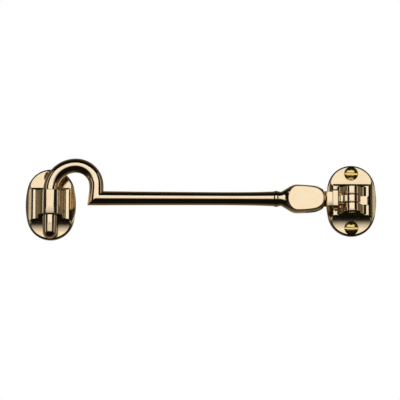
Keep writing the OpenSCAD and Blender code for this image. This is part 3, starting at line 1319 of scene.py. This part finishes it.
@dataclass
class PivotPlate:
    """The pivot plate: an oval plate with two lugs.

    Attributes:
        plate: The plate.
        slot_half: Half the width of the slot between the lugs.
        lug_end: The distance of a lug's outer end from the centre.
        radius: The radius of a lug's round top.
        bore: The radius of its bore.
        lean: How much further its outer end's foot reaches.
        hollow_x: The width of the hollows along its sides.
        hollow_y: The width of the hollow at its outer end.
        rise: The height of the hollows.
        steep: How steep the hollows end.
    """

    plate: OvalPlate = field(default_factory=lambda: OvalPlate(ramp=0.15))
    slot_half: float = 2.15
    lug_end: float = 6.4
    radius: float = 4.3
    bore: float = 1.81
    lean: float = 0.3
    hollow_x: float = 3.6
    hollow_y: float = 0.9
    rise: float = 3.6
    steep: float = 0.33

    def make(self, dresser: Dresser) -> None:
        """Models and dresses the pivot plate."""
        dresser.dress(self.build(), Finish.CAST, Body.BASE, ["pivot_plate"])

    def build(self) -> bpy.types.Object:
        """Models the pivot plate in its place.

        Returns:
            The pivot plate.
        """
        lugs = [self._lug(1.0).build("upper_lug"), self._lug(-1.0).build("lower_lug")]
        pivot = join("pivot_plate_brass", [self.plate.build("pivot_oval"), *lugs])
        shade(pivot, Smoothing.CAST)
        return pivot

    def _lug(self, way: float) -> Boss:
        """Gives one lug, with a plain end at the slot.

        Args:
            way: 1 for the upper lug and -1 for the lower one.

        Returns:
            The lug.
        """
        near, far = sorted((way * self.slot_half, way * self.lug_end))
        upper = way > 0
        return Boss(
            radius=self.radius,
            bore=self.bore,
            near=near,
            far=far,
            lean_near=0.0 if upper else self.lean,
            lean_far=self.lean if upper else 0.0,
            hollow_x=self.hollow_x,
            hollow_near=0.0 if upper else self.hollow_y,
            hollow_far=self.hollow_y if upper else 0.0,
            rise=self.rise,
            steep=self.steep,
        )


@dataclass
class Swivel:
    """The two-way link: an eye on the pivot pin, a collar and a flat tongue.

    Attributes:
        radius: The radius of the ring on the pivot pin.
        bore: The radius of its bore.
        half: Half the ring's width.
        ring_edge: The radius of the ring's edges.
        web_edge: The radius of the bridge's edges.
        collar_low: The collar's lowest corner, from the arm's axis.
        collar_high: The collar's highest corner, from the arm's axis.
        collar_corner: The radius of the collar's corners.
        collar_edge: The radius of its edges.
        tongue_r: The radius of the tongue's round end.
        root_half: Half the tongue's width at the collar.
        knee: Where the tongue's first circle becomes its root, as shares of its radius along X and Y.
        tongue_half: Half the tongue's thickness.
        tongue_edge: The radius of the tongue's edges.
        lift_x: The lift pin's place.
        lift_r: The radius of its bore.
        saddle: The bridge's height along it, as a share of the ring's.
        dip: The tongue's thickness along it, as a share of the full one.
    """

    radius: float = 4.3
    bore: float = 1.85
    half: float = 1.85
    ring_edge: float = 0.25
    web_edge: float = 0.35
    collar_low: tuple[float, float, float] = (-9.9, -4.7, -3.6)
    collar_high: tuple[float, float, float] = (-7.0, 4.7, 3.6)
    collar_corner: float = 1.2
    collar_edge: float = 0.4
    tongue_r: float = 4.4
    root_half: float = 3.45
    knee: tuple[float, float] = (0.7, 0.714)
    tongue_half: float = 1.8
    tongue_edge: float = 0.25
    lift_x: float = -18.5
    lift_r: float = 1.55
    saddle: Curve = Curve((
        (-8.5, 0.80), (-7.0, 0.78), (-6.1, 0.62), (-5.2, 0.58), (-4.4, 0.64), (-3.6, 0.80),
    ))
    dip: Curve = Curve((
        (-16.8, 1.0), (-14.8, 0.44), (-14.1, 0.42), (-13.0, 0.69), (-12.0, 0.89), (-11.0, 0.98),
        (-10.2, 1.0),
    ))

    def make(self, dresser: Dresser) -> None:
        """Models and dresses the swivel."""
        dresser.dress(self.build(), Finish.TURNED, Body.SWIVEL, ["swivel_knuckle"])

    def build(self) -> bpy.types.Object:
        """Models the swivel in its place.

        Returns:
            The swivel.
        """
        parts = [self._eye(), self._web(), self._collar(), self._tongue()]
        swivel = join("swivel_brass", parts)
        shade(swivel, Smoothing.CAST)
        return swivel

    def _eye(self) -> bpy.types.Object:
        """Models the ring on the pivot pin.

        Returns:
            The ring.
        """
        bm = bmesh.new()
        section = [(self.bore, -self.half)]
        for angle in spread(0.0, 90.0, 6):
            inset = self.ring_edge * (1 - math.sin(math.radians(angle)))
            along = self.ring_edge * (1 - math.cos(math.radians(angle)))
            section.append((self.radius - inset, along - self.half))
        section += [(radius, -along) for radius, along in section[::-1]]
        lathe(bm, section + [section[0]], PIVOT_AXIS, FINE_TURN)
        return piece_from("swivel_eye", bm)

    def _web(self) -> bpy.types.Object:
        """Models the saddle-shaped bridge between the ring and the collar.

        Returns:
            The bridge.
        """
        bm = bmesh.new()
        # It is a hair narrower than the ring, so that their sides don't coincide.
        low = (self.collar_low[0] + 1.0, -self.half + 0.02, -self.radius)
        high = (-self.bore - 0.6, self.half - 0.02, self.radius)
        add_box(bm, low, high)
        round_edges(bm, bm.edges[:], self.web_edge, 4)
        for x in spread(low[0] + 0.6, high[0] - 0.6, 22):
            bisect_across(bm, x)
        for vert in bm.verts:
            vert.co.z *= self.saddle.at(vert.co.x)
        move_to(bm, (0, 0, AXIS_Z))
        return piece_from("swivel_web", bm)

    def _collar(self) -> bpy.types.Object:
        """Models the collar, rounded at its corners and edges.

        Returns:
            The collar.
        """
        bm = bmesh.new()
        add_box(bm, self.collar_low, self.collar_high)
        move_to(bm, (0, 0, AXIS_Z))
        along = [edge for edge in bm.edges if abs(edge.verts[0].co.x - edge.verts[1].co.x) > 1.0]
        round_edges(bm, along, self.collar_corner, 7)
        ends = [face for face in bm.faces if abs(face.normal.x) > 0.9]
        rims = dict.fromkeys(edge for face in ends for edge in face.edges)
        round_edges(bm, list(rims), self.collar_edge, 4)
        return piece_from("swivel_collar", bm)

    def _tongue(self) -> bpy.types.Object:
        """Models the flat tongue with its round end and bore.

        Returns:
            The tongue.
        """
        bm = bmesh.new()
        bmesh.ops.create_circle(bm, cap_ends=True, segments=64, radius=self.tongue_r)
        self._stretch_root(bm)
        made = bmesh.ops.extrude_face_region(bm, geom=bm.faces[:])["geom"]
        top = [item for item in made if isinstance(item, bmesh.types.BMVert)]
        bmesh.ops.translate(bm, vec=Vector((0, 0, 2 * self.tongue_half)), verts=top)
        sharp = [edge for edge in bm.edges if abs(edge.verts[0].co.z - edge.verts[1].co.z) < 1e-6]
        round_edges(bm, sharp, self.tongue_edge, 3)
        move_to(bm, (self.lift_x, 0, -self.tongue_half))
        # The first cut lies just outside the dip, so that the face that is bored stays flat.
        for x in spread(self.dip.stations[0][0] - 0.05, self.dip.stations[-1][0] + 0.1, 26):
            bisect_across(bm, x)
        for vert in bm.verts:
            vert.co.z *= self.dip.at(vert.co.x)
        move_to(bm, (0, 0, AXIS_Z))
        tongue = piece_from("swivel_tongue", bm)
        bore = bmesh.new()
        turn = Matrix.Translation((self.lift_x, 0, AXIS_Z))
        lathe(bore, [(0, -4), (self.lift_r, -4), (self.lift_r, 4), (0, 4)], turn, COARSE_TURN)
        cut_away(tongue, [piece_from("tongue_bore", bore)])
        return tongue

    def _stretch_root(self, bm: bmesh.types.BMesh) -> None:
        """Stretches the right half of the tongue's first circle to its root inside the collar.

        Args:
            bm: The mesh with the circle alone.
        """
        length = self.collar_low[0] + 0.6 - self.lift_x
        knee_x, knee_y = self.knee
        for vert in bm.verts:
            x, y, _ = vert.co
            if x <= 0:
                continue
            share = min(x / (self.tongue_r * knee_x), 1.0)
            half = self.tongue_r + (self.root_half - self.tongue_r) * share
            end = y / self.tongue_r / knee_y * self.root_half
            vert.co.y = math.copysign(half, y) if x < self.tongue_r * knee_x else end
            vert.co.x = share * length


@dataclass
class WoodScrew:
    """A raised countersunk wood screw with a slot and a cut thread.

    Attributes:
        name: The piece's name.
        node: The CAD node that it replaces.
        y: The place of its axis.
        slot_turn: The slot's turn from the X axis, in degrees.
        head_r: The radius of its head.
        neck_r: The radius of its neck, under the head.
        neck: The neck's distance below the head's rim.
        shank_r: The radius of its plain shank.
        core_r: The radius of its core.
        thread_r: The radius of its thread.
        pitch: The thread's pitch.
        head_z: The height of its head's rim.
        dome: The height of its head's dome.
        plain_z: Where the plain shank ends.
        tip_z: Where its tip lies.
        point: The length of its tapered point.
        ridge: Half the thread's width at its foot, as a share of the pitch.
        crest: Half the width of the thread's crest.
        slot_half: Half the slot's width.
        slot_depth: The slot's depth.
        turn_steps: The number of steps of a full turn.
        thread_steps: The number of steps of one turn of the thread.
    """

    name: str
    node: str
    y: float
    slot_turn: float
    head_r: float = 3.4
    neck_r: float = 1.8
    neck: float = 1.6
    shank_r: float = 1.75
    core_r: float = 1.25
    thread_r: float = 1.72
    pitch: float = 1.3
    head_z: float = 3.5
    dome: float = 1.0
    plain_z: float = -5.0
    tip_z: float = -15.5
    point: float = 4.0
    ridge: float = 0.36
    crest: float = 0.06
    slot_half: float = 0.5
    slot_depth: float = 1.2
    turn_steps: int = 64
    thread_steps: int = 32

    def make(self, dresser: Dresser) -> None:
        """Models and dresses the screw."""
        dresser.dress(self.build(), Finish.SCREW, Body.BASE, [self.node])

    def build(self) -> bpy.types.Object:
        """Models the screw in its place.

        Returns:
            The screw.
        """
        bm = bmesh.new()
        place = Matrix.Translation((0, self.y, 0))
        lathe(bm, self._profile(), place, self.turn_steps)
        body = piece_from(f"{self.name}_body", bm)
        cut_away(body, [self._slot_cutter()])
        screw = join(self.name, [body, self._thread()])
        shade(screw, Smoothing.CAST)
        return screw

    def _profile(self) -> list[tuple[float, float]]:
        """Lists the screw's radius and height, from its tip to the top of its dome.

        Returns:
            Pairs of radius and height.
        """
        profile = [(0.0, self.tip_z), (0.15, self.tip_z + 0.1), (self.core_r, self.tip_z + self.point)]
        profile += [(self.core_r, self.plain_z - 0.5), (self.shank_r, self.plain_z), (self.shank_r, 0.0)]
        profile += [(self.neck_r, self.head_z - self.neck), (self.head_r - 0.06, self.head_z - 0.1)]
        profile.append((self.head_r, self.head_z))
        ball = (self.head_r**2 + self.dome**2) / (2 * self.dome)
        for share in spread(0.96, 0.0, 14):
            radius = self.head_r * share
            profile.append((radius, self.head_z + self.dome - ball + math.sqrt(ball**2 - radius**2)))
        return profile

    def _slot_cutter(self) -> bpy.types.Object:
        """Models the driver's slot.

        Returns:
            The cutter.
        """
        bm = bmesh.new()
        top = self.head_z + self.dome
        add_box(bm, (-5, -self.slot_half, top - self.slot_depth), (5, self.slot_half, top + 2))
        round_edges(bm, bm.edges[:], 0.06, 2)
        turn = Matrix.Rotation(math.radians(self.slot_turn), 3, "Z")
        bmesh.ops.rotate(bm, verts=bm.verts, cent=Vector(), matrix=turn)
        move_to(bm, (0, self.y, 0))
        return piece_from("slot_cutter", bm)

    def _thread(self) -> bpy.types.Object:
        """Models the thread as a ridge that climbs round the core and runs out at the tip.

        Returns:
            The thread.
        """
        bm = bmesh.new()
        turns = (self.plain_z - self.tip_z - 0.9) / self.pitch
        half = self.pitch * self.ridge
        start_z = self.tip_z + 0.7
        inner = self.core_r - 0.25
        outer = self.thread_r
        corners = [(inner, -half), (outer, -self.crest), (outer, self.crest), (inner, half)]
        verts = [bm.verts.new(Vector((radius, 0, start_z + along))) for radius, along in corners]
        section = bm.faces.new(verts)
        bmesh.ops.spin(
            bm,
            geom=[section, *section.edges, *verts],
            cent=Vector(),
            axis=Vector((0, 0, 1)),
            dvec=Vector((0, 0, self.pitch / self.thread_steps)),
            angle=2 * math.pi * turns,
            steps=int(turns * self.thread_steps),
        )
        for vert in bm.verts:
            share = min(max((vert.co.z - self.tip_z) / (self.point + 0.2), 0.08), 1.0)
            vert.co.x *= share
            vert.co.y *= share
        move_to(bm, (0, self.y, 0))
        return piece_from(f"{self.name}_thread", bm)


@dataclass
class Studio:
    """The camera, the light and the backdrop.

    Attributes:
        target: The point that the camera looks at.
        azimuth: The camera's turn, in degrees.
        elevation: The camera's height over the mounting plane, in degrees.
        distance: The camera's distance from the target.
        frame_w: The width of the picture at the target.
        floor_z: The height of the pale floor behind the object.
        floor_r: The floor's radius.
        tent_r: The radius of the dark tent that the metal mirrors.
        tent_reach: How far behind the object the tent reaches, as a share of its radius.
    """

    target: tuple[float, float, float] = (-0.0765, -0.0007, 0.0095)
    azimuth: float = 0.2
    elevation: float = 81.5
    distance: float = 1.3
    frame_w: float = 0.2014
    floor_z: float = -1.8
    floor_r: float = 30.0
    tent_r: float = 1.5
    tent_reach: float = 0.996

    def build(self) -> None:
        """Sets up the camera, the lamps, the floor and the world."""
        self._camera()
        self._softbox("front_softbox", angles=(0.0, 21.0), size=(1.32, 0.69), radiance=1.12)
        self._softbox("left_strip", angles=(-67.0, 14.0), size=(0.16, 1.0), radiance=0.6)
        self._softbox("right_strip", angles=(76.0, 14.0), size=(0.2, 1.0), radiance=0.5)
        self._floor()
        self._tent()
        self._world()
        bpy.context.scene.view_settings.view_transform = "Standard"

    def _camera(self) -> None:
        """Creates the camera at the photograph's viewing angle."""
        back = self._view_axis()
        a = math.radians(self.azimuth)
        right = Vector((math.cos(a), math.sin(a), 0))
        up = back.cross(right)
        turn = Matrix((right, up, back)).transposed().to_4x4()
        camera = bpy.data.cameras.new("camera")
        camera.sensor_width = 36.0
        camera.lens = camera.sensor_width * self.distance / self.frame_w
        camera.clip_end = 50.0
        holder = bpy.data.objects.new("camera", camera)
        holder.matrix_world = Matrix.Translation(Vector(self.target) + back * self.distance) @ turn
        bpy.context.scene.collection.objects.link(holder)
        bpy.context.scene.camera = holder

    def _softbox(
        self, name: str, angles: tuple[float, float], size: tuple[float, float], radiance: float
    ) -> None:
        """Hangs a softbox a metre from the object.

        Args:
            name: The lamp's name.
            angles: Its direction from +Z, towards +X and towards +Y, in degrees.
            size: Its width and height.
            radiance: How bright its face is: 1 is white.
        """
        across, upward = (math.radians(angle) for angle in angles)
        level = math.cos(upward)
        back = Vector((math.sin(across) * level, math.sin(upward), math.cos(across) * level))
        right = Vector((0, 1, 0)).cross(back).normalized()
        turn = Matrix((right, back.cross(right), back)).transposed().to_4x4()
        lamp = bpy.data.lights.new(name, "AREA")
        lamp.shape = "RECTANGLE"
        lamp.size, lamp.size_y = size
        lamp.energy = radiance * math.pi * size[0] * size[1]
        holder = bpy.data.objects.new(name, lamp)
        holder.matrix_world = Matrix.Translation(Vector(self.target) + back) @ turn
        holder.visible_camera = False
        bpy.context.scene.collection.objects.link(holder)

    def _floor(self) -> None:
        """Lays the white floor."""
        bm = bmesh.new()
        bmesh.ops.create_circle(bm, cap_ends=True, segments=FINE_TURN, radius=self.floor_r)
        bmesh.ops.translate(bm, vec=Vector((0, 0, self.floor_z)), verts=bm.verts)
        floor = object_from("floor", bm)
        floor.data.materials.append(self._floor_paint())

    def _floor_paint(self) -> bpy.types.Material:
        """Builds the floor's material.

        Returns:
            The material: pale, and lit evenly where it is seen directly or in the metal.
        """
        material = bpy.data.materials.new("pale_floor")
        material.use_nodes = True
        tree = material.node_tree
        tree.nodes.remove(tree.nodes["Principled BSDF"])
        rays = add_node(tree, "ShaderNodeLightPath").outputs
        glossy = add_math(tree, "MAXIMUM", rays["Is Camera Ray"], rays["Is Glossy Ray"])
        seen = add_math(tree, "MAXIMUM", glossy, rays["Is Transmission Ray"])
        matt = add_node(tree, "ShaderNodeBsdfDiffuse", Color=(0.9, 0.9, 0.9, 1.0))
        glow = add_node(tree, "ShaderNodeEmission")
        mix = add_node(tree, "ShaderNodeMixShader")
        tree.links.new(seen, mix.inputs["Fac"])
        tree.links.new(matt.outputs["BSDF"], mix.inputs[1])
        tree.links.new(glow.outputs["Emission"], mix.inputs[2])
        tree.links.new(mix.outputs["Shader"], tree.nodes["Material Output"].inputs["Surface"])
        return material

    def _view_axis(self) -> Vector:
        """Gives the direction from the target to the camera."""
        a, e = math.radians(self.azimuth), math.radians(self.elevation)
        return Vector((math.sin(a) * math.cos(e), -math.cos(a) * math.cos(e), math.sin(e)))

    def _tent(self) -> None:
        """Hangs a dark tent round the object, open behind it, which only the metal mirrors."""
        bm = bmesh.new()
        axis = self._view_axis()
        turn = axis.to_track_quat("Z", "Y").to_matrix().to_4x4()
        place = Matrix.Translation(Vector(self.target)) @ turn
        bmesh.ops.create_uvsphere(bm, u_segments=64, v_segments=32, radius=self.tent_r, matrix=place)
        bmesh.ops.bisect_plane(
            bm,
            geom=whole(bm),
            plane_co=Vector(self.target) - axis * (self.tent_r * self.tent_reach),
            plane_no=axis,
            clear_inner=True,
        )
        tent = object_from("dark_tent", bm)
        tent.data.materials.append(self._tent_cloth())
        tent.visible_camera = False
        tent.visible_shadow = False

    def _tent_cloth(self) -> bpy.types.Material:
        """Builds the tent's material.

        Returns:
            The material: nearly black, with dim glows at its sides and behind the object, and a bright
            strip in front that softens the lower edge of the softbox.
        """
        material = bpy.data.materials.new("dark_cloth")
        material.use_nodes = True
        tree = material.node_tree
        tree.nodes.remove(tree.nodes["Principled BSDF"])
        place = add_node(tree, "ShaderNodeTexCoord")
        parts = add_node(tree, "ShaderNodeSeparateXYZ")
        tree.links.new(place.outputs["Object"], parts.inputs["Vector"])
        x, y, z = parts.outputs
        white = (1.0, 1.0, 1.0)
        dim = [
            self._tent_ramp(tree, z, (0.15, 0.50), (0.16, 0.13, 0.085)),
            self._tent_ramp(tree, z, (0.02, 0.14), (0.16, 0.13, 0.09)),
            self._tent_ramp(tree, x, (0.02, 0.12), (0.085, 0.074, 0.047)),
            self._tent_ramp(tree, x, (0.975, 0.885), (0.12, 0.10, 0.065), 0.006),
        ]
        strip = [
            self._tent_ramp(tree, z, (0.94, 0.87), (1.0, 0.98, 0.94)),
            self._tent_ramp(tree, y, (0.515, 0.40), white),
            self._tent_ramp(tree, y, (0.513, 0.517), white),
        ]
        light = self._merge(tree, "ADD", [*dim, self._merge(tree, "MULTIPLY", strip)])
        glow = add_node(tree, "ShaderNodeEmission")
        tree.links.new(light, glow.inputs["Color"])
        tree.links.new(glow.outputs["Emission"], tree.nodes["Material Output"].inputs["Surface"])
        return material

    def _tent_ramp(
        self,
        tree: bpy.types.NodeTree,
        along: bpy.types.NodeSocket,
        ends: tuple[float, float],
        colour: tuple[float, float, float],
        dark: float = 0.0,
    ) -> bpy.types.NodeSocket:
        """Adds a glow that fades across the tent.

        Args:
            tree: The material's nodes.
            along: The coordinate that it fades along.
            ends: Where it is full and where it has faded, from 0 to 1 across the tent.
            colour: The full glow.
            dark: The glow that is left where it has faded.

        Returns:
            The glow's socket.
        """
        reach = add_node(tree, "ShaderNodeMapRange")
        reach.inputs["From Min"].default_value = (2 * ends[0] - 1) * self.tent_r
        reach.inputs["From Max"].default_value = (2 * ends[1] - 1) * self.tent_r
        tree.links.new(along, reach.inputs["Value"])
        return add_blend(tree, reach.outputs["Result"], (*colour, 1.0), (dark, dark, dark, 1.0))

    def _merge(
        self, tree: bpy.types.NodeTree, blend: str, glows: Sequence[bpy.types.NodeSocket]
    ) -> bpy.types.NodeSocket:
        """Adds up or multiplies glows.

        Args:
            tree: The material's nodes.
            blend: ADD or MULTIPLY.
            glows: The glows.

        Returns:
            The socket of all together.
        """
        total = glows[0]
        for glow in glows[1:]:
            total = add_blend(tree, 1.0, total, glow, blend)
        return total

    def _world(self) -> None:
        """Makes the room beyond the tent white."""
        world = bpy.data.worlds.new("room")
        world.use_nodes = True
        backdrop = world.node_tree.nodes["Background"]
        backdrop.inputs["Color"].default_value = (1.0, 1.0, 1.0, 1.0)
        backdrop.inputs["Strength"].default_value = 1.0
        bpy.context.scene.world = world


def main() -> None:
    """Builds the pieces in order, dresses them, and sets up the studio."""
    logging.basicConfig(level=logging.INFO, format="%(name)s: %(message)s")
    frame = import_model()
    finishes = {
        Finish.TURNED: BrassFinish(
            colour=(0.86, 0.70, 0.49), warm=(0.82, 0.64, 0.41),
            roughness=0.04, haze=0.05, marks=0.02, mark_scale=2600.0,
        ),
        Finish.CAST: BrassFinish(
            colour=(0.86, 0.70, 0.48), warm=(0.80, 0.63, 0.40),
            roughness=0.08, haze=0.06, marks=0.02, mark_scale=2600.0,
        ),
        Finish.SCREW: BrassFinish(
            colour=(0.92, 0.72, 0.28), warm=(0.82, 0.55, 0.14),
            roughness=0.14, haze=0.10, marks=0.06, mark_scale=3200.0,
        ),
    }
    dresser = Dresser({finish: brass.material(finish.value) for finish, brass in finishes.items()})
    for piece in (
        HookArm(),
        KeeperPlate(),
        PivotPlate(),
        Swivel(),
        WoodScrew("upper_screw_brass", "upper_screw", y=OvalPlate.screw_y, slot_turn=-3.0),
        WoodScrew("lower_screw_brass", "lower_screw", y=-OvalPlate.screw_y, slot_turn=-2.0),
    ):
        piece.make(dresser)
    for node in ("pivot_pin", "lift_pin"):
        dresser.repaint(frame["nodes"][node], Finish.TURNED)
    Studio().build()


if __name__ == "__main__":
    main()
